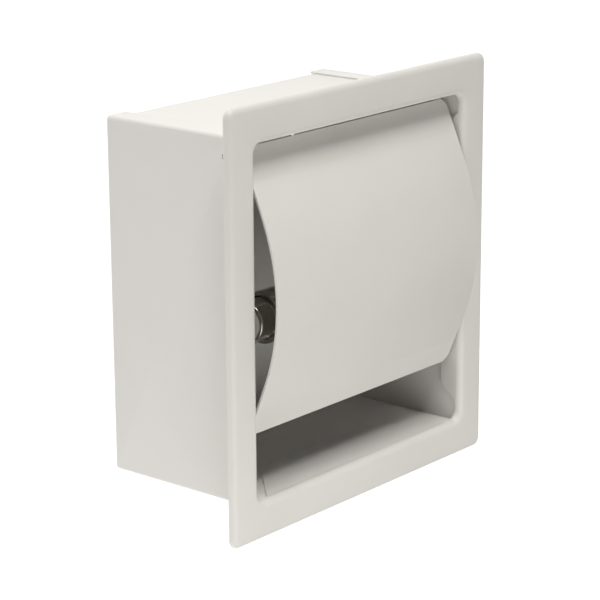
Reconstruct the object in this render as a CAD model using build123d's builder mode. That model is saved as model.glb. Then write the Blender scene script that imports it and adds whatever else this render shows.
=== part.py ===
"""Recessed toilet paper holder: pressed front frame, folded sheet housing, hinged hood, sprung roller.

Millimetres. +X is to the right as seen from the room, +Y goes into the wall, +Z is up.
The origin is the centre of the frame's rim, on the finished face of the wall (Y = 0).
"""

import os
from math import cos, radians, sin

from build123d import *

# ---------------------------------------------------------------- driving dimensions
sheet = 0.8                  # sheet steel of the frame and of the housing
fit_gap = 0.05               # radial running clearance of a pin or a sliding sleeve

# front frame
frame_width = 163.0
frame_height = 173.6
rim_depth = 3.0              # how far the frame stands out from the wall
frame_corner = 4.0
rim_round = 2.6
window_half_width = 66.2     # inner faces of the turned-in lips
window_half_height = 71.25
window_corner = 4.0
lip_bend = 3.0               # visible bend radius from the face into the window
lip_end = 0.4                # Y where the drawn lip ends and the tabs go on
side_tab_end = 7.4
top_tab_end = 5.0
bottom_tab_end = 24.0
side_tab_half = 63.2
top_tab_half = 62.0
bottom_tab_half = 58.5
tab_overlap = 0.3            # how far the tabs start inside the lip

# housing
box_front = 0.6
box_depth = 73.1
wrap_half_width = 66.1
wrap_bend = 2.4
flange_width = 10.9
panel_bend = 1.6
wall_hole_radius = 2.5
wall_hole_x = 45.0
wall_hole_z = 50.0

# hood: a round crown between two flat flanks, hung on a rod
hood_sheet = 1.0
hood_half_width = 64.7
hood_front = -11.7           # Y of the crown's foremost line
hood_crown_z = 9.3
hood_radius = 88.0
upper_lean = radians(23.2)
lower_lean = radians(22.6)
hood_top_z = 68.8
hood_bottom_z = -45.4
hood_corner = 4.2

# hinge
hinge_y = 11.2
hinge_z = 65.3
rod_radius = 1.5
lug_sheet = 1.5
lug_face = 63.5              # outer face of the lug, from the middle
lug_flange_width = 11.0
spacer_radius = 3.0
spacer_gap = 0.15
clip_sheet = 0.6
clip_radius = 3.2
clip_clearance = 0.25       # between a clip and its lug
groove_radius = 1.15
stop_gap = 0.1               # between the lug's toe and the top panel
lug_foot = 7.0               # where the lug starts and ends along the upper flank
lug_head = 22.0
lug_flange_foot = 8.0
lug_flange_head = 18.0
lug_nose = 1.0               # how far the lug's top edge reaches ahead of the rod
lug_toe = 7.0                # and behind it
lug_toe_height = 3.0
lug_back = 4.5
lug_back_drop = 2.0
lug_waist_drop = 5.0
flange_corner = 1.5
rod_chamfer = 0.3

# roller
roller_y = 11.0
roller_z = -2.3
boss_radius = 5.2
boss_face = 62.0
boss_notch_gap = 0.3         # the side tabs are notched around the bosses
boss_round = 0.6
peg_radius = 4.0
peg_length = 8.6
peg_chamfer = 0.8
roller_end = 57.7            # outer end of the bullnose
bullnose_length = 4.8
bullnose_round = 0.9
inner_radius = 8.6           # telescoping sleeve
inner_wall = 1.0
inner_end = 12.0
outer_radius = 10.5
outer_half_length = 48.6
plug_length = 9.0
spring_wire = 0.6            # wire radius
spring_mean = 7.8
spring_turns = 8
spring_gap = 0.05            # between the spring and what it pushes on
seat_sheet = 1.2
seat_plug = 3.0
sleeve_rim_round = 0.7

# ---------------------------------------------------------------- derived
panel_inside = window_half_width + sheet      # inner face of a side panel
panel_outside = panel_inside + sheet
wrap_inside = window_half_height + sheet      # inner face of the top and bottom panels
wrap_outside = wrap_inside + sheet
flange_top = wrap_outside + sheet
frame_face = -rim_depth
sides = (("left", -1), ("right", 1))

os.makedirs("parts", exist_ok=True)


def depth_plane(y):
    """A plane facing the room at depth y, with local X and Y along world X and Z."""
    return Plane.XZ.offset(-y)


def side_plane(x):
    """A plane across the holder at x, with local X and Y along world Y and Z."""
    return Plane.YZ.offset(x)


# ================================================================ front frame
# The pan's hollow is the pan's outside set in by one sheet, so that the wall stays one sheet thick.
with BuildPart() as pan_hollow:
    with BuildSketch(depth_plane(frame_face + sheet)):
        RectangleRounded(frame_width - 2 * sheet, frame_height - 2 * sheet, frame_corner - sheet)
    extrude(amount=-(rim_depth + lip_end))
    fillet(pan_hollow.faces().sort_by(Axis.Y)[0].edges(), rim_round - sheet)

with BuildPart() as front_frame:
    with BuildSketch(depth_plane(frame_face)):
        RectangleRounded(frame_width, frame_height, frame_corner)
    extrude(amount=-rim_depth)
    fillet(front_frame.faces().sort_by(Axis.Y)[0].edges(), rim_round)
    add(pan_hollow.part, mode=Mode.SUBTRACT)
    # the window and the lip drawn in around it
    with BuildSketch(depth_plane(frame_face)):
        RectangleRounded(
            2 * (window_half_width + sheet), 2 * (window_half_height + sheet), window_corner + sheet
        )
    extrude(amount=-(lip_end - frame_face))
    with BuildSketch(depth_plane(frame_face)):
        RectangleRounded(2 * window_half_width, 2 * window_half_height, window_corner)
    extrude(amount=-(lip_end - frame_face), mode=Mode.SUBTRACT)
    plate_back = front_frame.faces().filter_by(Axis.Y).filter_by_position(
        Axis.Y, frame_face + sheet - 0.01, frame_face + sheet + 0.01
    )
    back_loop = plate_back[0].inner_wires()[0]
    fillet(back_loop.edges(), lip_bend - sheet)
    front_loop = front_frame.faces().sort_by(Axis.Y)[0].inner_wires()[0]
    fillet(front_loop.edges(), lip_bend)
    # tabs that go on from the lip, with their ends cut at 45 degrees
    tab_root = lip_end - tab_overlap
    side_run = side_tab_end - tab_root
    for x in (window_half_width, -panel_inside):
        with BuildSketch(side_plane(x)):
            Polygon(
                (tab_root, -side_tab_half), (side_tab_end, side_run - side_tab_half),
                (side_tab_end, side_tab_half - side_run), (tab_root, side_tab_half), align=None,
            )
            with Locations((roller_y, roller_z)):
                Circle(boss_radius + boss_notch_gap, mode=Mode.SUBTRACT)
        extrude(amount=sheet)
    for z, half, end in (
        (window_half_height, top_tab_half, top_tab_end),
        (-wrap_inside, bottom_tab_half, bottom_tab_end),
    ):
        run = end - tab_root
        with BuildSketch(Plane.XY.offset(z)):
            Polygon((-half, tab_root), (half, tab_root), (half - run, end), (run - half, end), align=None)
        extrude(amount=sheet)
front_frame.part.label = "front_frame"
export_step(front_frame.part, "parts/front_frame.step")

# ================================================================ housing
# top, back and bottom are one folded sheet
with BuildPart() as housing_wrap:
    with BuildSketch(side_plane(0)):
        with Locations(((box_front + box_depth) / 2, 0)):
            Rectangle(box_depth - box_front, 2 * wrap_outside)
        with Locations(((box_front + box_depth) / 2 - sheet, 0)):
            Rectangle(box_depth - box_front, 2 * wrap_inside, mode=Mode.SUBTRACT)
    extrude(amount=wrap_half_width, both=True)
    bends = housing_wrap.edges().filter_by(Axis.X)
    fillet(bends.filter_by_position(Axis.Y, box_depth - 0.1, box_depth + 0.1), wrap_bend)
    inner_bends = housing_wrap.edges().filter_by(Axis.X).filter_by_position(
        Axis.Y, box_depth - sheet - 0.01, box_depth - sheet + 0.01
    )
    fillet(inner_bends, wrap_bend - sheet)
    # the back reaches the side panels, and stops short of their bends
    with BuildSketch(depth_plane(box_depth)):
        Rectangle(2 * panel_inside, 2 * (wrap_inside - wrap_bend))
    extrude(amount=sheet)
    # four screw holes through the back
    with BuildSketch(depth_plane(box_depth)):
        with GridLocations(2 * wall_hole_x, 2 * wall_hole_z, 2, 2):
            Circle(wall_hole_radius)
    extrude(amount=sheet, mode=Mode.SUBTRACT)
housing_wrap.part.label = "housing_wrap"
export_step(housing_wrap.part, "parts/housing_wrap.step")

# a side panel laps over the top and the bottom with its flanges
with BuildPart() as right_side_panel:
    with BuildSketch(depth_plane(box_front)):
        with Locations((panel_outside - flange_width / 2, 0)):
            Rectangle(flange_width, 2 * flange_top)
        with Locations((panel_inside - flange_width / 2, 0)):
            Rectangle(flange_width, 2 * wrap_outside, mode=Mode.SUBTRACT)
    extrude(amount=-(box_depth - box_front))
    along = right_side_panel.edges().filter_by(Axis.Y)
    fillet(along.filter_by_position(Axis.X, panel_outside - 0.01, panel_outside + 0.01), panel_bend)
    along = right_side_panel.edges().filter_by(Axis.Y)
    fillet(
        along.filter_by_position(Axis.X, panel_inside - 0.01, panel_inside + 0.01), panel_bend - sheet
    )
    flange_ends = right_side_panel.edges().filter_by(Axis.Z).filter_by_position(
        Axis.X, panel_outside - flange_width - 0.01, panel_outside - flange_width + 0.01
    )
    fillet(flange_ends, flange_corner)
    with BuildSketch(side_plane(panel_inside)):
        with Locations((hinge_y, hinge_z)):
            Circle(rod_radius + fit_gap)
    extrude(amount=sheet, mode=Mode.SUBTRACT)
right_side_panel.part.label = "right_side_panel"
export_step(right_side_panel.part, "parts/right_side_panel.step")

with BuildPart() as left_side_panel:
    mirror(right_side_panel.part, about=Plane.YZ)
left_side_panel.part.label = "left_side_panel"
export_step(left_side_panel.part, "parts/left_side_panel.step")

# ================================================================ spindle bosses
boss_length = panel_inside - boss_face
for side, sign in sides:
    with BuildPart() as spindle_boss:
        with BuildSketch(side_plane(sign * panel_inside)):
            with Locations((roller_y, roller_z)):
                Circle(boss_radius)
        extrude(amount=-sign * boss_length)
        mouth = spindle_boss.faces().filter_by(Axis.X).sort_by(Axis.X)[0 if sign > 0 else -1]
        fillet(mouth.edges(), boss_round)
        with BuildSketch(side_plane(sign * boss_face)):
            with Locations((roller_y, roller_z)):
                Circle(peg_radius + 2 * fit_gap)
        extrude(amount=sign * boss_length, mode=Mode.SUBTRACT)
    spindle_boss.part.label = f"{side}_spindle_boss"
    export_step(spindle_boss.part, f"parts/{side}_spindle_boss.step")

# ================================================================ hinge rod, spacers and clips
groove_half = clip_sheet / 2 + fit_gap
clip_x = lug_face - lug_sheet - clip_clearance - clip_sheet / 2
with BuildPart() as hinge_rod:
    with BuildSketch(side_plane(0)):
        with Locations((hinge_y, hinge_z)):
            Circle(rod_radius)
    extrude(amount=panel_outside, both=True)
    chamfer(hinge_rod.edges().filter_by(GeomType.CIRCLE), rod_chamfer)
    for side, sign in sides:
        with BuildSketch(side_plane(sign * clip_x)):
            with Locations((hinge_y, hinge_z)):
                Circle(rod_radius + 1)
                Circle(groove_radius, mode=Mode.SUBTRACT)
        extrude(amount=groove_half, both=True, mode=Mode.SUBTRACT)
hinge_rod.part.label = "hinge_rod"
export_step(hinge_rod.part, "parts/hinge_rod.step")

with BuildPart() as hinge_spacers:
    for side, sign in sides:
        with BuildSketch(side_plane(sign * (lug_face + spacer_gap))):
            with Locations((hinge_y, hinge_z)):
                Circle(spacer_radius)
                Circle(rod_radius + fit_gap, mode=Mode.SUBTRACT)
        extrude(amount=sign * (panel_inside - lug_face - 2 * spacer_gap))
hinge_spacers.part.label = "hinge_spacers"
export_step(hinge_spacers.part, "parts/hinge_spacers.step")

with BuildPart() as hinge_clips:
    for side, sign in sides:
        with BuildSketch(side_plane(sign * clip_x)):
            with Locations((hinge_y, hinge_z)):
                Circle(clip_radius)
                Circle(groove_radius + fit_gap, mode=Mode.SUBTRACT)
            with Locations((hinge_y + clip_radius / 2 + 0.5, hinge_z)):
                Rectangle(clip_radius, 2 * groove_radius - fit_gap, mode=Mode.SUBTRACT)
        extrude(amount=clip_sheet / 2, both=True)
hinge_clips.part.label = "hinge_clips"
export_step(hinge_clips.part, "parts/hinge_clips.step")

# ================================================================ hood
crown_centre = Vector(hood_front + hood_radius, hood_crown_z)
up_flank = Vector(sin(upper_lean), cos(upper_lean))
up_normal = Vector(-cos(upper_lean), sin(upper_lean))
down_flank = Vector(sin(lower_lean), -cos(lower_lean))
down_normal = Vector(-cos(lower_lean), -sin(lower_lean))
upper_run = (hood_top_z - (crown_centre + up_normal * hood_radius).Y) / up_flank.Y
lower_run = (hood_bottom_z - (crown_centre + down_normal * hood_radius).Y) / down_flank.Y


def on_upper_flank(radius, run):
    """A point on the upper flank, at a distance from the crown's centre and along the flank."""
    return crown_centre + up_normal * radius + up_flank * run


def on_lower_flank(radius, run):
    """The same on the lower flank, counted downwards."""
    return crown_centre + down_normal * radius + down_flank * run


hood_inside = hood_radius - hood_sheet
with BuildPart() as hood_shell:
    with BuildSketch(side_plane(0)):
        with BuildLine():
            for radius in (hood_radius, hood_inside):
                Line(on_upper_flank(radius, upper_run), on_upper_flank(radius, 0))
                ThreePointArc(
                    on_upper_flank(radius, 0),
                    crown_centre + Vector(-radius, 0),
                    on_lower_flank(radius, 0),
                )
                Line(on_lower_flank(radius, 0), on_lower_flank(radius, lower_run))
            Line(on_upper_flank(hood_radius, upper_run), on_upper_flank(hood_inside, upper_run))
            Line(on_lower_flank(hood_radius, lower_run), on_lower_flank(hood_inside, lower_run))
        make_face()
    extrude(amount=hood_half_width, both=True)
    thickness_edges = [e for e in hood_shell.edges() if abs(e.length - hood_sheet) < 0.001]
    fillet(thickness_edges, hood_corner)
hood_shell.part.label = "hood_shell"
export_step(hood_shell.part, "parts/hood_shell.step")

# A lug has an eye on the rod, a toe that stops the hood under the top panel, and a welded flange.
stop_z = wrap_inside - stop_gap
for side, sign in sides:
    with BuildPart() as hood_lug:
        with BuildSketch(side_plane(sign * lug_face)):
            with BuildLine():
                Polyline(
                    on_upper_flank(hood_inside, lug_foot), on_upper_flank(hood_inside, lug_head),
                    (hinge_y - lug_nose, stop_z), (hinge_y + lug_toe, stop_z),
                    (hinge_y + lug_toe, stop_z - lug_toe_height),
                    (hinge_y + lug_back, hinge_z - lug_back_drop),
                    (hinge_y + lug_nose, hinge_z - lug_waist_drop),
                    on_upper_flank(hood_inside, lug_foot), close=False,
                )
            make_face()
            with Locations((hinge_y, hinge_z)):
                Circle(rod_radius + fit_gap, mode=Mode.SUBTRACT)
        extrude(amount=-sign * lug_sheet)
        with BuildSketch(side_plane(sign * lug_face)):
            with BuildLine():
                Polyline(
                    on_upper_flank(hood_inside, lug_flange_foot),
                    on_upper_flank(hood_inside, lug_flange_head),
                    on_upper_flank(hood_inside - lug_sheet, lug_flange_head),
                    on_upper_flank(hood_inside - lug_sheet, lug_flange_foot),
                    close=True,
                )
            make_face()
        extrude(amount=-sign * (lug_flange_width + lug_sheet))
    hood_lug.part.label = f"hood_lug_{side}"
    export_step(hood_lug.part, f"parts/hood_lug_{side}.step")

# ================================================================ roller
bore_radius = inner_radius + fit_gap


def roller_circle(radius, mode=Mode.ADD):
    """A circle on the roller's axis, in a sketch across the holder."""
    with Locations((roller_y, roller_z)):
        Circle(radius, mode=mode)


with BuildPart() as roller_outer_sleeve:
    with BuildSketch(side_plane(0)):
        roller_circle(outer_radius)
        roller_circle(bore_radius, Mode.SUBTRACT)
    extrude(amount=outer_half_length, both=True)
    rims = roller_outer_sleeve.edges().filter_by(GeomType.CIRCLE).filter_by(
        lambda e: abs(e.radius - outer_radius) < 0.01
    )
    fillet(rims, sleeve_rim_round)
roller_outer_sleeve.part.label = "roller_outer_sleeve"
export_step(roller_outer_sleeve.part, "parts/roller_outer_sleeve.step")

# the right end is pressed into the outer sleeve
shoulder_x = roller_end - bullnose_length
with BuildPart() as roller_fixed_cap:
    with BuildSketch(side_plane(shoulder_x)):
        roller_circle(inner_radius)
    extrude(amount=bullnose_length)
    fillet(roller_fixed_cap.faces().sort_by(Axis.X)[-1].edges(), bullnose_round)
    with BuildSketch(side_plane(shoulder_x)):
        roller_circle(bore_radius - 0.01)
    extrude(amount=-plug_length)
    with BuildSketch(side_plane(roller_end)):
        roller_circle(peg_radius)
    extrude(amount=peg_length)
    chamfer(roller_fixed_cap.faces().sort_by(Axis.X)[-1].edges(), peg_chamfer)
roller_fixed_cap.part.label = "roller_fixed_cap"
export_step(roller_fixed_cap.part, "parts/roller_fixed_cap.step")

# the left end slides into the outer sleeve against the spring
with BuildPart() as roller_inner_sleeve:
    with BuildSketch(side_plane(-shoulder_x)):
        roller_circle(inner_radius)
        roller_circle(inner_radius - inner_wall, Mode.SUBTRACT)
    extrude(amount=shoulder_x + inner_end)
roller_inner_sleeve.part.label = "roller_inner_sleeve"
export_step(roller_inner_sleeve.part, "parts/roller_inner_sleeve.step")

with BuildPart() as roller_plunger_cap:
    with BuildSketch(side_plane(-shoulder_x)):
        roller_circle(inner_radius)
    extrude(amount=-bullnose_length)
    fillet(roller_plunger_cap.faces().sort_by(Axis.X)[0].edges(), bullnose_round)
    with BuildSketch(side_plane(-shoulder_x)):
        roller_circle(inner_radius - inner_wall - 0.01)
    extrude(amount=plug_length)
    with BuildSketch(side_plane(-roller_end)):
        roller_circle(peg_radius)
    extrude(amount=-peg_length)
    chamfer(roller_plunger_cap.faces().sort_by(Axis.X)[0].edges(), peg_chamfer)
roller_plunger_cap.part.label = "roller_plunger_cap"
export_step(roller_plunger_cap.part, "parts/roller_plunger_cap.step")

# a disc pressed into the inner sleeve's end, which the spring pushes on
with BuildPart() as roller_spring_seat:
    with BuildSketch(side_plane(inner_end)):
        roller_circle(inner_radius - 0.1)
    extrude(amount=seat_sheet)
    with BuildSketch(side_plane(inner_end)):
        roller_circle(inner_radius - inner_wall - 0.01)
    extrude(amount=-seat_plug)
roller_spring_seat.part.label = "roller_spring_seat"
export_step(roller_spring_seat.part, "parts/roller_spring_seat.step")

spring_start = inner_end + seat_sheet + spring_wire + spring_gap
spring_end = shoulder_x - plug_length - spring_wire - spring_gap
spring_length = spring_end - spring_start
with BuildPart() as roller_spring:
    with BuildLine() as coil:
        Helix(
            pitch=spring_length / spring_turns, height=spring_length, radius=spring_mean,
            center=(spring_start, roller_y, roller_z), direction=(1, 0, 0),
        )
    with BuildSketch(Plane(origin=coil.line @ 0, z_dir=coil.line % 0)):
        Circle(spring_wire)
    sweep(path=coil.line, is_frenet=True)
roller_spring.part.label = "roller_spring"
export_step(roller_spring.part, "parts/roller_spring.step")
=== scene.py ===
"""The looks of the recessed toilet paper holder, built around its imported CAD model.

Pieces are modelled in millimetres and scaled to metres when they are finished.
+X is to the right as seen from the room, +Y goes into the wall, +Z is up.
"""

from cmath import phase, rect
from math import cos, pi, radians, sin, sqrt, tan

import bmesh
import bpy
from mathutils import Matrix, Vector


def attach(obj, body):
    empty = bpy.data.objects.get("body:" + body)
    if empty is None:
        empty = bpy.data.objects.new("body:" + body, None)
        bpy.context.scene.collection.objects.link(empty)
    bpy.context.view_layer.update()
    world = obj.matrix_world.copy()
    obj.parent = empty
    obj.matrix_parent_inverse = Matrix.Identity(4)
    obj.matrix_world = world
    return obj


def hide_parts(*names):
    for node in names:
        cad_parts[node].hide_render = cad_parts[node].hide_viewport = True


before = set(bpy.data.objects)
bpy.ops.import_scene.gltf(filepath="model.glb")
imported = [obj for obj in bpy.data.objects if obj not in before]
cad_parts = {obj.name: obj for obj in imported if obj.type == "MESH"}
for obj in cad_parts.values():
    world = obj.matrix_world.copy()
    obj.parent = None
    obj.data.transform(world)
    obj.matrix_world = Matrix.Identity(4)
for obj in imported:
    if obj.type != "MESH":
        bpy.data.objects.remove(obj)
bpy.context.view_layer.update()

MM = 0.001
SIDES = (("left", -1), ("right", 1))

# ---------------------------------------------------------------- sizes, in millimetres
SHEET = 0.8
FRAME_HALF = (81.5, 86.8)
FRAME_CORNER = 4.0
RIM_DEPTH = 3.0
RIM_ROUND = 2.6
WINDOW_HALF = (66.2, 71.25)
WINDOW_CORNER = 4.0
LIP_BEND = 3.0
LIP_END = 0.4
TAB_OVERLAP, TAB_CORNER, TAB_LEAN = 0.3, 0.5, 0.05
# a tab's half length at its root, and its end in Y
SIDE_TAB, TOP_TAB, BOTTOM_TAB = (63.3, 7.4), (62.0, 5.0), (58.5, 24.0)
PANEL_INSIDE = WINDOW_HALF[0] + SHEET
PANEL_OUTSIDE = PANEL_INSIDE + SHEET
WRAP_INSIDE = WINDOW_HALF[1] + SHEET
WRAP_OUTSIDE = WRAP_INSIDE + SHEET
BOX_FRONT, BOX_DEPTH = 0.6, 73.1
WRAP_HALF = 66.1
WRAP_BEND = 2.4
FLANGE_WIDTH = 10.9
PANEL_BEND = 1.6
FLANGE_CORNER = 1.5
SCREW_X, SCREW_Z, SCREW_RADIUS = 45.0, 50.0, 2.5
HINGE = (11.2, 65.3)
ROD_RADIUS = 1.5
EYE_RADIUS = 1.55
LUG_FACE, LUG_SHEET, LUG_FLANGE = 63.5, 1.5, 11.0
LUG_FOOT, LUG_HEAD = 7.0, 22.0                  # along the upper flank
FLANGE_FOOT, FLANGE_HEAD, LUG_FLANGE_CORNER = 8.0, 18.0, 1.5
STOP_GAP = 0.1
CLIP_SHEET, CLIP_RADIUS, CLIP_RING, CLIP_TOOTH = 0.6, 3.2, 1.7, 1.2
CLIP_X = LUG_FACE - LUG_SHEET - 0.55
CLIP_MOUTH, TOOTH_HALF = radians(24), 0.30      # half angles
GROOVE_RADIUS, GROOVE_HALF = 1.15, 0.35
SPACER_RADIUS, SPACER_GAP = 3.0, 0.15
HOOD_HALF, HOOD_SHEET, HOOD_CORNER = 64.7, 1.0, 4.2
HOOD_RADIUS = 88.0
HOOD_CENTRE = Vector((-11.7 + HOOD_RADIUS, 9.3))
HOOD_TOP, HOOD_BOTTOM = 68.8, -45.4
UPPER_LEAN, LOWER_LEAN = radians(23.2), radians(22.6)
ROLLER = (11.0, -2.3)
BOSS_RADIUS, BOSS_FACE, BOSS_NOTCH = 5.2, 62.0, 5.5
PEG_RADIUS, PEG_LENGTH, BOSS_BORE = 4.0, 8.6, 4.1
CAP_END, CAP_SHOULDER, CAP_ROUND = 57.7, 52.9, 1.3
DISC_RADIUS, DISC_DEPTH = 7.2, 0.8
INNER_RADIUS, INNER_WALL, INNER_END = 8.6, 1.0, 12.0
OUTER_RADIUS, OUTER_HALF, BORE = 10.5, 48.6, 8.65
PLUG_END = CAP_SHOULDER - 9.0
SEAT_SHEET, SEAT_PLUG = 1.2, 3.0


# ================================================================ node helpers
def node_group(name, inputs, outputs):
    """An empty shader node group with its sockets, and its input and output nodes."""
    tree = bpy.data.node_groups.new(name, "ShaderNodeTree")
    for label, kind, value in inputs:
        socket = tree.interface.new_socket(label, in_out="INPUT", socket_type=kind)
        if value is not None:
            socket.default_value = value
    for label, kind in outputs:
        tree.interface.new_socket(label, in_out="OUTPUT", socket_type=kind)
    return tree, tree.nodes.new("NodeGroupInput"), tree.nodes.new("NodeGroupOutput")


def add(tree, kind, links=(), **settings):
    """A node with its settings, and with links from (output socket) to a named or numbered input."""
    node = tree.nodes.new(kind)
    for key, value in settings.items():
        setattr(node, key, value)
    for target, source in links:
        if hasattr(source, "node"):
            tree.links.new(source, node.inputs[target])
        else:
            node.inputs[target].default_value = source
    return node


def ramp(tree, factor, low, high, to_low=0.0, to_high=1.0):
    """A clamped change of range."""
    return add(
        tree, "ShaderNodeMapRange", clamp=True,
        links=(
            ("Value", factor), ("From Min", low), ("From Max", high), ("To Min", to_low), ("To Max", to_high),
        ),
    ).outputs["Result"]


VECTOR, NUMBER, COLOUR = "NodeSocketVector", "NodeSocketFloat", "NodeSocketColor"


def coating_group():
    """Baked powder: a low orange peel, a fine grain, and a slow drift in tone and gloss."""
    tree, given, result = node_group(
        "powder_coating",
        (("Coordinate", VECTOR, None), ("Base Colour", COLOUR, (0.8, 0.8, 0.8, 1)),
         ("Roughness", NUMBER, 0.4), ("Relief", NUMBER, 0.1), ("Dust", NUMBER, 0.1)),
        (("Colour", COLOUR), ("Roughness", NUMBER), ("Normal", VECTOR)),
    )
    place = given.outputs["Coordinate"]
    peel = add(tree, "ShaderNodeTexNoise", (("Vector", place), ("Scale", 620.0), ("Detail", 1.5)))
    grain = add(tree, "ShaderNodeTexNoise", (("Vector", place), ("Scale", 2400.0), ("Detail", 2.0)))
    drift = add(tree, "ShaderNodeTexNoise", (("Vector", place), ("Scale", 22.0), ("Detail", 4.0)))
    height = add(
        tree, "ShaderNodeMath", ((0, grain.outputs["Fac"]), (1, 0.3), (2, peel.outputs["Fac"])),
        operation="MULTIPLY_ADD",
    )
    bump = add(
        tree, "ShaderNodeBump",
        (("Strength", given.outputs["Relief"]), ("Distance", 0.00012), ("Height", height.outputs[0])),
    )
    # a little dust lies on whatever faces up
    geometry = add(tree, "ShaderNodeNewGeometry")
    facing = add(tree, "ShaderNodeSeparateXYZ", ((0, geometry.outputs["Normal"]),))
    lying = ramp(tree, facing.outputs["Z"], 0.6, 1.0)
    patchy = ramp(tree, drift.outputs["Fac"], 0.35, 0.75)
    dust = add(tree, "ShaderNodeMath", ((0, lying), (1, patchy)), operation="MULTIPLY")
    dust_share = add(
        tree, "ShaderNodeMath", ((0, dust.outputs[0]), (1, given.outputs["Dust"])), operation="MULTIPLY"
    )
    tone = ramp(tree, drift.outputs["Fac"], 0.3, 0.7, 0.975, 1.01)
    toned = add(tree, "ShaderNodeVectorMath", ((0, given.outputs["Base Colour"]),), operation="SCALE")
    tree.links.new(tone, toned.inputs["Scale"])
    mixed = add(tree, "ShaderNodeMix", data_type="RGBA")
    tree.links.new(dust_share.outputs[0], mixed.inputs["Factor"])
    tree.links.new(toned.outputs[0], mixed.inputs["A"])
    mixed.inputs["B"].default_value = (0.70, 0.67, 0.62, 1)
    gloss = ramp(tree, drift.outputs["Fac"], 0.3, 0.7, -0.03, 0.04)
    rough = add(tree, "ShaderNodeMath", ((0, given.outputs["Roughness"]), (1, gloss)), operation="ADD")
    dusty = add(
        tree, "ShaderNodeMath", ((0, dust_share.outputs[0]), (1, 0.4), (2, rough.outputs[0])),
        operation="MULTIPLY_ADD",
    )
    tree.links.new(mixed.outputs["Result"], result.inputs["Colour"])
    tree.links.new(dusty.outputs[0], result.inputs["Roughness"])
    tree.links.new(bump.outputs["Normal"], result.inputs["Normal"])
    return tree


def plating_group():
    """Plated metal: fine turning marks around the X axis, and a faint haze."""
    tree, given, result = node_group(
        "plating",
        (("Coordinate", VECTOR, None), ("Base Colour", COLOUR, (0.6, 0.6, 0.6, 1)),
         ("Roughness", NUMBER, 0.1), ("Marks", NUMBER, 0.1)),
        (("Colour", COLOUR), ("Roughness", NUMBER), ("Normal", VECTOR)),
    )
    place = given.outputs["Coordinate"]
    along = add(tree, "ShaderNodeVectorMath", ((0, place), (1, (9000.0, 60.0, 60.0))), operation="MULTIPLY")
    marks = add(tree, "ShaderNodeTexNoise", (("Vector", along.outputs[0]), ("Scale", 1.0), ("Detail", 2.0)))
    haze = add(tree, "ShaderNodeTexNoise", (("Vector", place), ("Scale", 90.0), ("Detail", 4.0)))
    bump = add(
        tree, "ShaderNodeBump",
        (("Strength", given.outputs["Marks"]), ("Distance", 0.00002), ("Height", marks.outputs["Fac"])),
    )
    clouded = ramp(tree, haze.outputs["Fac"], 0.35, 0.75, 0.0, 0.06)
    scored = ramp(tree, marks.outputs["Fac"], 0.4, 0.8, 0.0, 0.04)
    rough = add(tree, "ShaderNodeMath", ((0, given.outputs["Roughness"]), (1, clouded)), operation="ADD")
    total = add(tree, "ShaderNodeMath", ((0, rough.outputs[0]), (1, scored)), operation="ADD")
    tone = ramp(tree, haze.outputs["Fac"], 0.3, 0.7, 0.94, 1.0)
    toned = add(tree, "ShaderNodeVectorMath", ((0, given.outputs["Base Colour"]),), operation="SCALE")
    tree.links.new(tone, toned.inputs["Scale"])
    tree.links.new(toned.outputs[0], result.inputs["Colour"])
    tree.links.new(total.outputs[0], result.inputs["Roughness"])
    tree.links.new(bump.outputs["Normal"], result.inputs["Normal"])
    return tree


def surface(name, group, values, **principled):
    """A material whose Principled BSDF takes colour, roughness and normal from a group."""
    material = bpy.data.materials.new(name)
    material.use_nodes = True
    tree = material.node_tree
    shader = tree.nodes["Principled BSDF"]
    where = add(tree, "ShaderNodeTexCoord")
    effect = tree.nodes.new("ShaderNodeGroup")
    effect.node_tree = group
    tree.links.new(where.outputs["Object"], effect.inputs["Coordinate"])
    for key, value in values.items():
        effect.inputs[key].default_value = value
    tree.links.new(effect.outputs["Colour"], shader.inputs["Base Color"])
    tree.links.new(effect.outputs["Roughness"], shader.inputs["Roughness"])
    tree.links.new(effect.outputs["Normal"], shader.inputs["Normal"])
    for key, value in principled.items():
        shader.inputs[key].default_value = value
    return material


coating, plating = coating_group(), plating_group()
powder = surface(
    "powder_coat", coating,
    {"Base Colour": (0.80, 0.787, 0.757, 1), "Roughness": 0.42, "Relief": 0.22, "Dust": 0.06},
)
chrome = surface(
    "roller_chrome", plating, {"Base Colour": (0.62, 0.59, 0.55, 1), "Roughness": 0.09, "Marks": 0.12},
    Metallic=1.0,
)
zinc = surface(
    "zinc_steel", plating, {"Base Colour": (0.62, 0.63, 0.64, 1), "Roughness": 0.3, "Marks": 0.4},
    Metallic=1.0,
)
nylon = surface(
    "nylon", coating, {"Base Colour": (0.92, 0.91, 0.88, 1), "Roughness": 0.5, "Relief": 0.08, "Dust": 0.1},
)


# ================================================================ mesh helpers
def softened(points, closed=True, steps=5):
    """A path with its corners rounded. A point is (u, v), or (u, v, radius)."""
    out, count = [], len(points)
    for i, point in enumerate(points):
        here = complex(*point[:2])
        if len(point) < 3 or (not closed and i in (0, count - 1)):
            out.append(here)
            continue
        before, after = complex(*points[i - 1][:2]) - here, complex(*points[(i + 1) % count][:2]) - here
        before, after = before / abs(before), after / abs(after)
        half = abs(phase(after / before)) / 2
        middle = before + after
        centre = here + middle / abs(middle) * point[2] / sin(half)
        start = here + before * point[2] / tan(half) - centre
        turn = phase((here + after * point[2] / tan(half) - centre) / start)
        out += [centre + start * rect(1, turn * k / steps) for k in range(steps + 1)]
    return [(p.real, p.imag) for p in out]


def circle(centre, radius, steps=32):
    return [
        (centre[0] + radius * cos(2 * pi * i / steps), centre[1] + radius * sin(2 * pi * i / steps))
        for i in range(steps)
    ]


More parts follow.
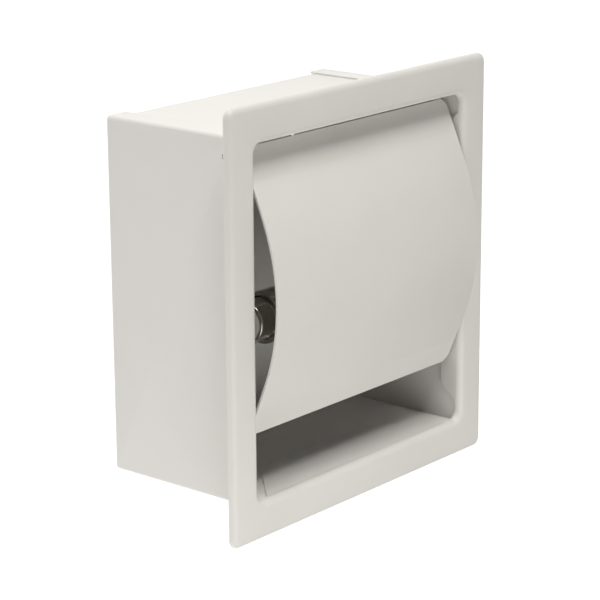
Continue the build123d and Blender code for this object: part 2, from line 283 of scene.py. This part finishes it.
def rounded_rectangle(half_width, half_height, corner, steps=10):
    points = []
    for cx, cz, start in ((1, 1, 0), (-1, 1, 90), (-1, -1, 180), (1, -1, 270)):
        for i in range(steps + 1):
            a = radians(start + 90 * i / steps)
            points.append((
                cx * (half_width - corner) + corner * cos(a), cz * (half_height - corner) + corner * sin(a)
            ))
    return points


def chain(bm, places, closed):
    """New vertices joined by edges, in order."""
    verts = [bm.verts.new(p) for p in places]
    pairs = zip(verts, verts[1:] + verts[:1]) if closed else zip(verts, verts[1:])
    return verts, [bm.edges.new(pair) for pair in pairs]


def extrude_chain(bm, verts, edges, places):
    """Extrudes a chain of edges, and puts the new vertices in their places."""
    made = bmesh.ops.extrude_edge_only(bm, edges=edges)["geom"]
    fresh = {g for g in made if isinstance(g, bmesh.types.BMVert)}
    after = []
    for vert, place in zip(verts, places):
        twin = next(e.other_vert(vert) for e in vert.link_edges if e.other_vert(vert) in fresh)
        twin.co = place
        after.append(twin)
    front = [g for g in made if isinstance(g, bmesh.types.BMEdge) and all(v in fresh for v in g.verts)]
    return after, front


def filled(bm, loops, place):
    """Flat faces inside an outline, less any further loops as holes.

    Returns the faces, and the vertices of each loop.
    """
    edges, corners = [], []
    for loop in loops:
        verts, ring = chain(bm, [place(u, v) for u, v in loop], True)
        edges += ring
        corners.append(verts)
    made = bmesh.ops.triangle_fill(bm, use_beauty=True, use_dissolve=False, edges=edges)["geom"]
    return [g for g in made if isinstance(g, bmesh.types.BMFace)], corners


def thicken(bm, faces, outward, thickness):
    """Gives a sheet its thickness, behind the side that faces outward(face centre)."""
    bmesh.ops.recalc_face_normals(bm, faces=faces)
    if sum(f.normal.dot(outward(f.calc_center_median())) * f.calc_area() for f in faces) < 0:
        bmesh.ops.reverse_faces(bm, faces=faces)
    bm.normal_update()
    bmesh.ops.solidify(bm, geom=faces, thickness=thickness)


def cut_plate(bm, loops, place, outward, thickness, soft=0.12, plain=lambda edge: False):
    """A flat plate cut to outlines, with its cut edges rounded except those that are plain."""
    before = set(bm.edges)
    faces, _ = filled(bm, loops, place)
    thicken(bm, faces, lambda c: outward, thickness)
    soften_edges(bm, [e for e in bm.edges if e not in before and not plain(e)], soft)


def soften_edges(bm, edges, width, segments=3):
    sharp = [e for e in edges if len(e.link_faces) == 2 and e.calc_face_angle(0) > radians(50)]
    if sharp:
        bmesh.ops.bevel(
            bm, geom=sharp, offset=width, offset_type="OFFSET", segments=segments, profile=0.5,
            affect="EDGES", clamp_overlap=True, material=-1,
        )


def turned(bm, profile, centre, closed, steps=72):
    """Turns a profile of (x, radius) around a line along X. An open profile starts and ends on that line."""
    verts, edges = chain(bm, [(x, centre[0], centre[1] + r) for x, r in profile], closed)
    bmesh.ops.spin(
        bm, geom=verts + edges, cent=(0, centre[0], centre[1]), axis=(1, 0, 0), dvec=(0, 0, 0),
        angle=2 * pi, steps=steps, use_merge=True, use_normal_flip=False, use_duplicate=False,
    )


def finish_piece(name, bm, body, nodes, material):
    bmesh.ops.remove_doubles(bm, verts=bm.verts, dist=0.0005)
    bmesh.ops.recalc_face_normals(bm, faces=bm.faces)
    for face in bm.faces:
        turns = [e.calc_face_angle(0) for e in face.edges if len(e.link_faces) == 2]
        gentle = any(radians(0.2) < t < radians(13) for t in turns)
        face.smooth = gentle or face.calc_area() < 3
    for edge in bm.edges:
        edge.smooth = edge.calc_face_angle(0) < radians(40)
    bmesh.ops.scale(bm, vec=(MM, MM, MM), verts=bm.verts)
    mesh = bpy.data.meshes.new(name)
    bm.to_mesh(mesh)
    bm.free()
    mesh.materials.append(material)
    piece = bpy.data.objects.new(name, mesh)
    bpy.context.scene.collection.objects.link(piece)
    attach(piece, body)
    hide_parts(*nodes)
    return piece


# ================================================================ front frame
def build_frame():
    bm = bmesh.new()

    def outer(inset, y):
        ring = rounded_rectangle(FRAME_HALF[0] - inset, FRAME_HALF[1] - inset, FRAME_CORNER - inset)
        return [(x, y, z) for x, z in ring]

    def inner(grow, y):
        ring = rounded_rectangle(WINDOW_HALF[0] + grow, WINDOW_HALF[1] + grow, WINDOW_CORNER + grow)
        return [(x, y, z) for x, z in ring]

    def rim(inset, radius, steps=8):
        turns = [radians(90 * i / steps) for i in range(steps + 1)]
        return [
            outer(inset + radius * (1 - cos(a)), RIM_ROUND - RIM_DEPTH - radius * sin(a)) for a in turns
        ]

    def lip(grow, radius, steps=8):
        turns = [radians(90 * i / steps) for i in range(steps + 1)]
        return [inner(grow + radius * (1 - sin(a)), LIP_BEND - RIM_DEPTH - radius * cos(a)) for a in turns]

    edge = 0.15
    rings = [outer(SHEET - edge, 0), outer(edge, 0), outer(0, -edge)] + rim(0, RIM_ROUND)
    rings += lip(0, LIP_BEND)
    rings += [inner(0, LIP_END - edge), inner(edge, LIP_END)]
    rings += [inner(SHEET - edge, LIP_END), inner(SHEET, LIP_END - edge)]
    rings += lip(SHEET, LIP_BEND - SHEET)[::-1]
    rings += rim(SHEET, RIM_ROUND - SHEET)[::-1] + [outer(SHEET, -edge)]
    verts, edges = chain(bm, rings[0], True)
    first = list(edges)
    for ring in rings[1:]:
        verts, edges = extrude_chain(bm, verts, edges, ring)
    bmesh.ops.bridge_loops(bm, edges=first + edges)

    # tabs with ends cut at 45 degrees go on from the lip; those at the sides are notched around the bosses
    root = LIP_END - TAB_OVERLAP
    half, end = SIDE_TAB
    reach = sqrt(BOSS_NOTCH ** 2 - (ROLLER[0] - end) ** 2)
    start = phase(complex(end - ROLLER[0], reach))
    notch = [
        (ROLLER[0] + BOSS_NOTCH * cos(a), ROLLER[1] + BOSS_NOTCH * sin(a))
        for a in (start + (2 * pi - 2 * start) * i / 16 for i in range(17))
    ]
    side_tab = softened([(root, half - root), (root, root - half), (end, end - half, TAB_CORNER)])
    side_tab += notch[::-1]
    side_tab += softened([(end, half - end, TAB_CORNER), (root, half - root), (root, root - half)])[:-2]

    def at_root(edge):
        return all(v.co.y < root + 0.01 for v in edge.verts)

    for _, sign in SIDES:
        cut_plate(
            bm, [side_tab],
            lambda u, v, s=sign: (s * (WINDOW_HALF[0] - TAB_LEAN * (u - root)), u, v),
            Vector((-sign, 0, 0)), SHEET, plain=at_root,
        )
    for z, (half, end), up in ((WINDOW_HALF[1], TOP_TAB, -1), (-WINDOW_HALF[1], BOTTOM_TAB, 1)):
        run = end - root
        tab = softened([
            (-half, root), (half, root), (half - run, end, TAB_CORNER), (run - half, end, TAB_CORNER),
        ])
        cut_plate(bm, [tab], lambda u, v, z=z: (u, v, z), Vector((0, 0, up)), SHEET, plain=at_root)
    return finish_piece("pressed_frame", bm, "housing", ["front_frame"], powder)


build_frame()


# ================================================================ housing
def bend_chain(bm, verts, edges, centre, start, turn, radius, axis, steps=6):
    """Extrudes a chain around a bend. axis 'x' turns in Y and Z, axis 'y' turns in X and Z."""
    along = [v.co.x if axis == "x" else v.co.y for v in verts]
    for k in range(1, steps + 1):
        a = start + turn * k / steps
        u, w = centre[0] + radius * cos(a), centre[1] + radius * sin(a)
        places = [(s, u, w) if axis == "x" else (u, s, w) for s in along]
        verts, edges = extrude_chain(bm, verts, edges, places)
    return verts, edges


def build_wrap():
    """Top, back and bottom, folded from one sheet, with four screw holes in the back."""
    bm = bmesh.new()
    flat = WRAP_OUTSIDE - WRAP_BEND
    ear = WRAP_INSIDE - WRAP_BEND
    outline = [
        (-WRAP_HALF, flat), (-WRAP_HALF, ear), (-PANEL_INSIDE, ear), (-PANEL_INSIDE, -ear),
        (-WRAP_HALF, -ear), (-WRAP_HALF, -flat), (WRAP_HALF, -flat), (WRAP_HALF, -ear),
        (PANEL_INSIDE, -ear), (PANEL_INSIDE, ear), (WRAP_HALF, ear), (WRAP_HALF, flat),
    ]
    holes = [circle((x, z), SCREW_RADIUS) for x in (-SCREW_X, SCREW_X) for z in (-SCREW_Z, SCREW_Z)]
    _, (verts, *_) = filled(bm, [outline] + holes, lambda u, v: (u, BOX_DEPTH, v))
    for pair, up in (((verts[0], verts[-1]), 1), ((verts[5], verts[6]), -1)):
        edge = bm.edges.get(pair)
        corners, edges = bend_chain(
            bm, list(pair), [edge], (BOX_DEPTH - WRAP_BEND, up * flat), 0, up * pi / 2, WRAP_BEND, "x"
        )
        extrude_chain(bm, corners, edges, [(v.co.x, BOX_FRONT, v.co.z) for v in corners])
    thicken(bm, bm.faces[:], lambda c: Vector((0, 1, 0)) if c.y > 72 else Vector((0, 0, c.z)), SHEET)
    soften_edges(bm, bm.edges[:], 0.12)
    return finish_piece("folded_housing", bm, "housing", ["housing_wrap"], powder)


def build_side(side, sign):
    """A side panel, its flanges lapped over the top and the bottom."""
    bm = bmesh.new()
    flat = WRAP_OUTSIDE + SHEET - PANEL_BEND
    outline = [(BOX_FRONT, flat), (BOX_FRONT, -flat), (BOX_DEPTH, -flat), (BOX_DEPTH, flat)]
    _, (verts, *_) = filled(
        bm, [outline, circle(HINGE, EYE_RADIUS)], lambda u, v: (sign * PANEL_OUTSIDE, u, v)
    )
    for pair, up in (((verts[0], verts[3]), 1), ((verts[1], verts[2]), -1)):
        edge = bm.edges.get(pair)
        start = 0 if sign > 0 else pi
        corners, edges = bend_chain(
            bm, list(pair), [edge], (sign * (PANEL_OUTSIDE - PANEL_BEND), up * flat), start,
            sign * up * pi / 2, PANEL_BEND, "y",
        )
        z = corners[0].co.z
        tip = sign * (PANEL_OUTSIDE - FLANGE_WIDTH)
        for a in (radians(15 * k) for k in range(7)):
            x = tip + sign * FLANGE_CORNER * (1 - sin(a))
            trim = FLANGE_CORNER * (1 - cos(a))
            corners, edges = extrude_chain(
                bm, corners, edges, [(x, BOX_FRONT + trim, z), (x, BOX_DEPTH - trim, z)]
            )
    thicken(
        bm, bm.faces[:], lambda c: Vector((sign, 0, 0)) if abs(c.z) < flat else Vector((0, 0, c.z)), SHEET
    )
    soften_edges(bm, bm.edges[:], 0.12)
    return finish_piece(f"{side}_panel", bm, "housing", [f"{side}_side_panel"], powder)


def build_boss(side, sign):
    bm = bmesh.new()
    profile = softened([
        (PANEL_INSIDE, 0), (PANEL_INSIDE, BOSS_RADIUS), (BOSS_FACE, BOSS_RADIUS, 0.5),
        (BOSS_FACE, BOSS_BORE, 0.3), (PANEL_INSIDE - 0.3, BOSS_BORE), (PANEL_INSIDE - 0.3, 0),
    ], closed=False)
    turned(bm, [(sign * x, r) for x, r in profile], ROLLER, False)
    return finish_piece(f"{side}_boss", bm, "housing", [f"{side}_spindle_boss"], powder)


build_wrap()
for side, sign in SIDES:
    build_side(side, sign)
    build_boss(side, sign)


# ================================================================ hinge
def build_rod():
    bm = bmesh.new()
    half = [
        (PANEL_OUTSIDE, 0), (PANEL_OUTSIDE, ROD_RADIUS - 0.3), (PANEL_OUTSIDE - 0.3, ROD_RADIUS),
        (CLIP_X + GROOVE_HALF, ROD_RADIUS), (CLIP_X + GROOVE_HALF, GROOVE_RADIUS),
        (CLIP_X - GROOVE_HALF, GROOVE_RADIUS), (CLIP_X - GROOVE_HALF, ROD_RADIUS),
    ]
    turned(bm, half + [(-x, r) for x, r in half[::-1]], HINGE, False, 40)
    return finish_piece("hinge_pin", bm, "housing", ["hinge_rod"], zinc)


def build_spacers():
    bm = bmesh.new()
    near, far = LUG_FACE + SPACER_GAP, PANEL_INSIDE - SPACER_GAP
    ring = softened([
        (near, EYE_RADIUS, 0.15), (near, SPACER_RADIUS, 0.35),
        (far, SPACER_RADIUS, 0.35), (far, EYE_RADIUS, 0.15),
    ])
    for _, sign in SIDES:
        turned(bm, [(sign * x, r) for x, r in ring], HINGE, True, 48)
    return finish_piece("hinge_washers", bm, "housing", ["hinge_spacers"], nylon)


def build_clips():
    """E-clips: an open ring with three inner teeth."""
    bm = bmesh.new()
    turns = [CLIP_MOUTH + (2 * pi - 2 * CLIP_MOUTH) * i / 48 for i in range(49)]
    teeth = (CLIP_MOUTH + TOOTH_HALF, pi, 2 * pi - CLIP_MOUTH - TOOTH_HALF)
    outer = [rect(CLIP_RADIUS, a) for a in turns]
    inner = [
        rect(CLIP_TOOTH if any(abs(a - tooth) < TOOTH_HALF for tooth in teeth) else CLIP_RING, a)
        for a in turns
    ]
    outline = [(HINGE[0] + p.real, HINGE[1] + p.imag) for p in outer + inner[::-1]]
    for _, sign in SIDES:
        cut_plate(
            bm, [outline], lambda u, v, s=sign: (s * (CLIP_X + CLIP_SHEET / 2), u, v),
            Vector((sign, 0, 0)), CLIP_SHEET, soft=0.08,
        )
    return finish_piece("hinge_eclips", bm, "housing", ["hinge_clips"], zinc)


build_rod()
build_spacers()
build_clips()


# ================================================================ hood
UP_ALONG = Vector((sin(UPPER_LEAN), cos(UPPER_LEAN)))
UP_OUT = Vector((-cos(UPPER_LEAN), sin(UPPER_LEAN)))
DOWN_ALONG = Vector((sin(LOWER_LEAN), -cos(LOWER_LEAN)))
DOWN_OUT = Vector((-cos(LOWER_LEAN), -sin(LOWER_LEAN)))
UPPER_RUN = (HOOD_TOP - (HOOD_CENTRE + UP_OUT * HOOD_RADIUS).y) / UP_ALONG.y
LOWER_RUN = (HOOD_BOTTOM - (HOOD_CENTRE + DOWN_OUT * HOOD_RADIUS).y) / DOWN_ALONG.y


def upper_flank(radius, run):
    return HOOD_CENTRE + UP_OUT * radius + UP_ALONG * run


def lower_flank(radius, run):
    return HOOD_CENTRE + DOWN_OUT * radius + DOWN_ALONG * run


def build_hood():
    """Rows of points from the top edge to the bottom one, narrowed at both ends by the rounded corners."""
    bm = bmesh.new()
    corner = [
        (HOOD_CORNER * (1 - cos(a)), HOOD_CORNER * (1 - sin(a))) for a in (radians(11.25 * k) for k in range(9))
    ]
    rows = [(upper_flank(HOOD_RADIUS, UPPER_RUN - t), HOOD_HALF - narrow) for t, narrow in corner]
    rows.append((upper_flank(HOOD_RADIUS, UPPER_RUN / 2), HOOD_HALF))
    span = UPPER_LEAN + LOWER_LEAN
    for k in range(25):
        a = UPPER_LEAN - span * k / 24
        rows.append((HOOD_CENTRE + Vector((-cos(a), sin(a))) * HOOD_RADIUS, HOOD_HALF))
    rows.append((lower_flank(HOOD_RADIUS, LOWER_RUN / 2), HOOD_HALF))
    rows += [(lower_flank(HOOD_RADIUS, LOWER_RUN - t), HOOD_HALF - narrow) for t, narrow in corner[::-1]]
    (y, z), half = rows[0]
    verts, edges = chain(bm, [(-half, y, z), (half, y, z)], False)
    for (y, z), half in rows[1:]:
        verts, edges = extrude_chain(bm, verts, edges, [(-half, y, z), (half, y, z)])
    middle = Vector((0, *HOOD_CENTRE))
    thicken(bm, bm.faces[:], lambda c: c - middle, HOOD_SHEET)
    soften_edges(bm, bm.edges[:], 0.28)
    return finish_piece("curved_hood", bm, "hood", ["hood_shell"], powder)


def build_lug(side, sign):
    """A lug with an eye on the rod, a toe under the top panel, and a flange welded inside the hood."""
    bm = bmesh.new()
    inside = HOOD_RADIUS - HOOD_SHEET
    y, z = HINGE
    stop = WRAP_INSIDE - STOP_GAP
    outline = softened([
        (*upper_flank(inside, LUG_FOOT), 1.0), (*upper_flank(inside, LUG_HEAD), 1.0), (y - 1, stop, 0.8),
        (y + 7, stop, 0.6), (y + 7, stop - 3, 1.2), (y + 4.5, z - 2, 2.0), (y + 1, z - 5, 2.5),
    ])
    cut_plate(
        bm, [outline, circle(HINGE, EYE_RADIUS)], lambda u, v: (sign * LUG_FACE, u, v), Vector((sign, 0, 0)),
        LUG_SHEET, soft=0.18,
    )
    far = LUG_FACE - LUG_SHEET - LUG_FLANGE
    flange = softened([
        (LUG_FACE - 0.2, FLANGE_FOOT), (LUG_FACE - 0.2, FLANGE_HEAD),
        (far, FLANGE_HEAD, LUG_FLANGE_CORNER), (far, FLANGE_FOOT, LUG_FLANGE_CORNER),
    ])

    def on_hood(u, v):
        p = upper_flank(inside, v)
        return (sign * u, p.x, p.y)

    cut_plate(bm, [flange], on_hood, Vector((0, *UP_OUT)), LUG_SHEET, soft=0.18)
    return finish_piece(f"{side}_lug", bm, "hood", [f"hood_lug_{side}"], powder)


build_hood()
for side, sign in SIDES:
    build_lug(side, sign)


# ================================================================ roller
def cap_profile(plug):
    """From the peg's end, over the bullnose, to the plug inside the sleeve."""
    rim = DISC_RADIUS + 0.1
    nose = [
        (CAP_END - CAP_ROUND * (1 - cos(a)), rim + (INNER_RADIUS - rim) * sin(a))
        for a in (radians(9 * k) for k in range(11))
    ]
    return softened([
        (CAP_END + PEG_LENGTH, 0), (CAP_END + PEG_LENGTH, PEG_RADIUS, 0.8),
        (CAP_END - DISC_DEPTH, PEG_RADIUS), (CAP_END - DISC_DEPTH, DISC_RADIUS),
        (CAP_END - 0.1, DISC_RADIUS), *nose, (CAP_SHOULDER, INNER_RADIUS, 0.15),
        (CAP_SHOULDER - 0.3, plug, 0.1), (PLUG_END, plug, 0.4), (PLUG_END, 0),
    ], closed=False, steps=8)


def build_roller():
    bm = bmesh.new()
    x = OUTER_HALF
    turned(bm, softened([
        (-x, OUTER_RADIUS, 0.55), (x, OUTER_RADIUS, 0.55), (x, BORE, 0.3), (-x, BORE, 0.3),
    ]), ROLLER, True, 96)
    finish_piece("outer_tube", bm, "roller", ["roller_outer_sleeve"], chrome)

    bm = bmesh.new()
    turned(bm, cap_profile(BORE - 0.01), ROLLER, False, 96)
    finish_piece("fixed_end", bm, "roller", ["roller_fixed_cap"], chrome)

    bm = bmesh.new()
    turned(bm, [(-x, r) for x, r in cap_profile(INNER_RADIUS - INNER_WALL - 0.01)], ROLLER, False, 96)
    finish_piece("sprung_end", bm, "plunger", ["roller_plunger_cap"], chrome)

    bm = bmesh.new()
    wall = INNER_RADIUS - INNER_WALL
    turned(bm, softened([
        (-CAP_SHOULDER, INNER_RADIUS, 0.15), (INNER_END, INNER_RADIUS, 0.3),
        (INNER_END, wall, 0.3), (-CAP_SHOULDER, wall, 0.15),
    ]), ROLLER, True, 96)
    finish_piece("inner_tube", bm, "plunger", ["roller_inner_sleeve"], chrome)

    bm = bmesh.new()
    turned(bm, softened([
        (INNER_END - SEAT_PLUG, 0), (INNER_END - SEAT_PLUG, wall - 0.01, 0.4), (INNER_END, wall - 0.01),
        (INNER_END, INNER_RADIUS - 0.1, 0.2), (INNER_END + SEAT_SHEET, INNER_RADIUS - 0.1, 0.3),
        (INNER_END + SEAT_SHEET, 0),
    ], closed=False), ROLLER, False, 64)
    finish_piece("spring_disc", bm, "plunger", ["roller_spring_seat"], zinc)


def build_disc(side, sign, body):
    """A white plastic disc let into the end of a cap, around its peg."""
    bm = bmesh.new()
    floor, face = CAP_END - DISC_DEPTH + 0.02, CAP_END - 0.04
    turned(bm, [(sign * x, r) for x, r in softened([
        (floor, PEG_RADIUS + 0.03), (face, PEG_RADIUS + 0.03, 0.2), (face, DISC_RADIUS - 0.03, 0.25),
        (floor, DISC_RADIUS - 0.03),
    ])], ROLLER, True, 96)
    return finish_piece(f"{side}_end_disc", bm, body, [], nylon)


build_roller()
build_disc("left", -1, "plunger")
build_disc("right", 1, "roller")
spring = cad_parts["roller_spring"]
spring.data.materials.clear()
spring.data.materials.append(zinc)


# ================================================================ floor, lights and camera
def build_floor():
    """A pale floor well below the holder, brighter behind it."""
    bm = bmesh.new()
    bmesh.ops.create_circle(bm, cap_ends=True, segments=96, radius=14)
    mesh = bpy.data.meshes.new("floor")
    bm.to_mesh(mesh)
    bm.free()
    floor = bpy.data.objects.new("floor", mesh)
    floor.location.z = -0.8
    bpy.context.scene.collection.objects.link(floor)
    material = bpy.data.materials.new("pale_floor")
    material.use_nodes = True
    tree = material.node_tree
    shader = tree.nodes["Principled BSDF"]
    shader.inputs["Base Color"].default_value = (0.86, 0.85, 0.83, 1)
    shader.inputs["Roughness"].default_value = 0.9
    shader.inputs["Specular IOR Level"].default_value = 0.1
    where = add(tree, "ShaderNodeTexCoord")
    depth = add(tree, "ShaderNodeSeparateXYZ", ((0, where.outputs["Object"]),))
    glow = ramp(tree, depth.outputs["Y"], 0.1, 0.7, 0.0, FLOOR_GLOW)
    tree.links.new(glow, shader.inputs["Emission Strength"])
    shader.inputs["Emission Color"].default_value = (1, 1, 1, 1)
    mesh.materials.append(material)


def soft_light(name, place, aim, width, height, power, colour=(1, 1, 1)):
    data = bpy.data.lights.new(name, "AREA")
    data.shape = "RECTANGLE"
    data.size, data.size_y = width, height
    data.energy = power
    data.color = colour
    light = bpy.data.objects.new(name, data)
    light.location = place
    light.rotation_euler = (Vector(aim) - Vector(place)).to_track_quat("-Z", "Y").to_euler()
    bpy.context.scene.collection.objects.link(light)


FLOOR_GLOW = 0.75
WARM = (1.0, 0.985, 0.96)
build_floor()
soft_light("key", (-0.10, -0.50, 1.50), (0, 0, 0), 0.84, 0.70, 20.0, WARM)
soft_light("low_fill", (-0.12, -0.30, -0.22), (0, -0.01, -0.04), 0.40, 0.30, 0.68, WARM)
soft_light("left_fill", (-0.55, 0.10, -0.45), (-0.06, 0.03, -0.02), 0.50, 0.50, 0.86, WARM)

# the sky is bright behind the wall plane, soft overhead, and dark on the room's side
world = bpy.data.worlds.new("studio")
bpy.context.scene.world = world
world.use_nodes = True
sky = world.node_tree
facing = add(sky, "ShaderNodeSeparateXYZ", ((0, add(sky, "ShaderNodeTexCoord").outputs["Generated"]),))
overhead = ramp(sky, facing.outputs["Z"], 0.0, 1.0, 0.02, 0.20)
behind = ramp(sky, facing.outputs["Y"], 0.0, 1.0, 0.0, 1.28)
level = add(sky, "ShaderNodeMath", ((0, overhead), (1, behind)), operation="ADD")
background = sky.nodes["Background"]
background.inputs["Color"].default_value = (1.0, 0.99, 0.975, 1)
sky.links.new(level.outputs[0], background.inputs["Strength"])

az, el, roll, distance = radians(-50.056), radians(15.681), radians(-0.358), 0.93536
aside, below = 0.02642, 0.00306
back = Vector((sin(az) * cos(el), -cos(az) * cos(el), sin(el)))
right = (-back).cross(Vector((0, 0, 1))).normalized()
up = right.cross(-back)
right, up = right * cos(roll) + up * sin(roll), up * cos(roll) - right * sin(roll)
lens = bpy.data.cameras.new("camera")
lens.lens, lens.sensor_width = 139.32, 36.0
lens.dof.use_dof = False
camera = bpy.data.objects.new("camera", lens)
bpy.context.scene.collection.objects.link(camera)
place = Vector((0, -0.003, 0)) - right * aside - up * below + back * distance
camera.matrix_world = Matrix((
    (right.x, up.x, back.x, place.x), (right.y, up.y, back.y, place.y),
    (right.z, up.z, back.z, place.z), (0, 0, 0, 1),
))
bpy.context.scene.camera = camera
bpy.context.scene.view_settings.view_transform = "Standard"
